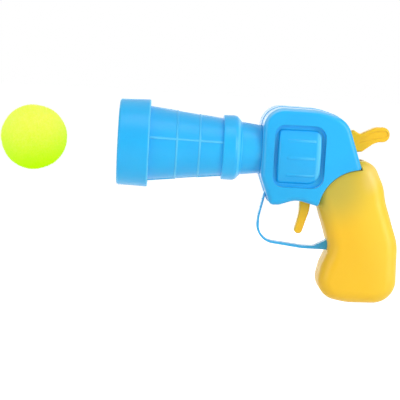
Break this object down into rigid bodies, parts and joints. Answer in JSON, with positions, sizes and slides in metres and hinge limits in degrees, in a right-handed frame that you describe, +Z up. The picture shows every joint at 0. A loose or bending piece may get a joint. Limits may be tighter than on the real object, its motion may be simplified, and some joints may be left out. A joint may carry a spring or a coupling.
{
  "type": "toy ball launcher",
  "caption": "Hand-held toy launcher for a soft pet ball: tapered barrel with a stout muzzle ring, ribbed drum relief, thumb hammer, trigger with a strap guard, and a raked grip.",
  "frame": {"origin": "centre of the muzzle's mouth, on the bore's axis, at the muzzle ring's front face", "axes": "+X runs back along the bore to the thumb hammer, +Z is up, and -Y is the launcher's left-hand side"},
  "size_m": [0.2426, 0.0526, 0.1159],
  "materials": {
    "blue_shell": "moulded, soft gloss",
    "grip_yellow": "moulded, soft gloss",
    "lever_orange": "moulded, soft gloss",
    "guard_blue": "moulded, soft gloss",
    "inner_plastic": "moulded, matt",
    "soft_pad": "foam rubber",
    "pin_steel": "ground",
    "spring_steel": "drawn wire",
    "screw_steel": "zinc plated",
    "ball_plush": "short pile plush"
  },
  "bodies": {
    "launcher": {"frame_left": "blue_shell", "frame_right": "blue_shell", "barrel": "blue_shell", "muzzle_ring": "blue_shell", "guide_bush": "inner_plastic", "main_spring": "spring_steel", "trigger_spring": "spring_steel", "trigger_guard": "guard_blue", "grip_left": "grip_yellow", "grip_right": "grip_yellow", "hammer_pin": "pin_steel", "trigger_pin": "pin_steel", "frame_screws": "screw_steel", "grip_screws": "screw_steel"},
    "thumb_hammer": {"hammer": "lever_orange"},
    "striker": {"plunger": "inner_plastic", "plunger_pad": "soft_pad", "link_pin": "pin_steel"},
    "finger_trigger": {"trigger": "lever_orange"},
    "ball": {"plush_ball": "ball_plush"}
  },
  "joints": [
    {"name": "hammer_turn", "type": "hinge", "parent": "launcher", "child": "thumb_hammer", "pos_m": [0.1357, 0, -0.022], "axis": [0, 1, 0], "range_deg": [0, 20], "stiffness_Nm_per_rad": 0.4, "springref_deg": -5.73},
    {"name": "plunger_slide", "type": "slide", "parent": "launcher", "child": "striker", "axis": [1, 0, 0], "range_m": [0, 0.00776], "deforming": ["main_spring"]},
    {"name": "trigger_pull", "type": "hinge", "parent": "launcher", "child": "finger_trigger", "pos_m": [0.1188, 0, -0.027], "axis": [0, -1, 0], "range_deg": [0, 12], "stiffness_Nm_per_rad": 0.25, "springref_deg": -2.86, "deforming": ["trigger_spring"]},
    {"name": "ball_slide", "type": "slide", "parent": "launcher", "child": "ball", "axis": [1, 0, 0], "range_m": [0, 0.06714]}
  ],
  "couplings": [
    {"joint": "plunger_slide", "follows": "hammer_turn", "m_per_rad": 0.022226}
  ]
}
